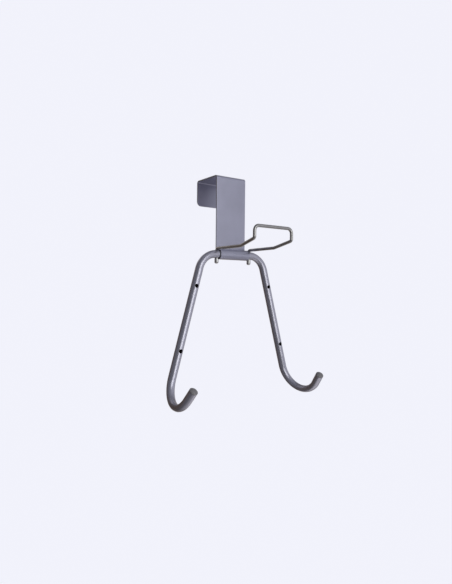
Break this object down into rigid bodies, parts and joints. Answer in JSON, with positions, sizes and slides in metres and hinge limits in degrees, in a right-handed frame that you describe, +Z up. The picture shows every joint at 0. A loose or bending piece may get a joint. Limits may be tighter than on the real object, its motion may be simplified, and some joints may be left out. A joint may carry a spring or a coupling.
{
  "type": "over-door ironing board holder",
  "caption": "Over-door ironing board holder: a folded strap whose rolled end grips a bent tube with splayed legs and upturned hooks, and a wire loop that stands out above them.",
  "frame": {"origin": "middle of the underside of the strap's top run, where it rests on the top edge of a door", "axes": "+Z up, +X to the right for someone facing the door, +Y into the door, so the hooks point along -Y"},
  "size_m": [0.2056, 0.1346, 0.2822],
  "materials": {
    "coated_sheet": "satin silver-grey powder coat",
    "coated_tube": "satin silver-grey powder coat",
    "plated_wire": "bright zinc or nickel plating",
    "plated_cap": "bright plating",
    "plug_plastic": "matte dark grey"
  },
  "bodies": {
    "root": {"strap": "coated_sheet", "hook_frame": "coated_tube", "wire_loop": "plated_wire", "left_wire_cap": "plated_cap", "right_wire_cap": "plated_cap", "left_tip_plug": "plug_plastic", "right_tip_plug": "plug_plastic"}
  },
  "joints": []
}
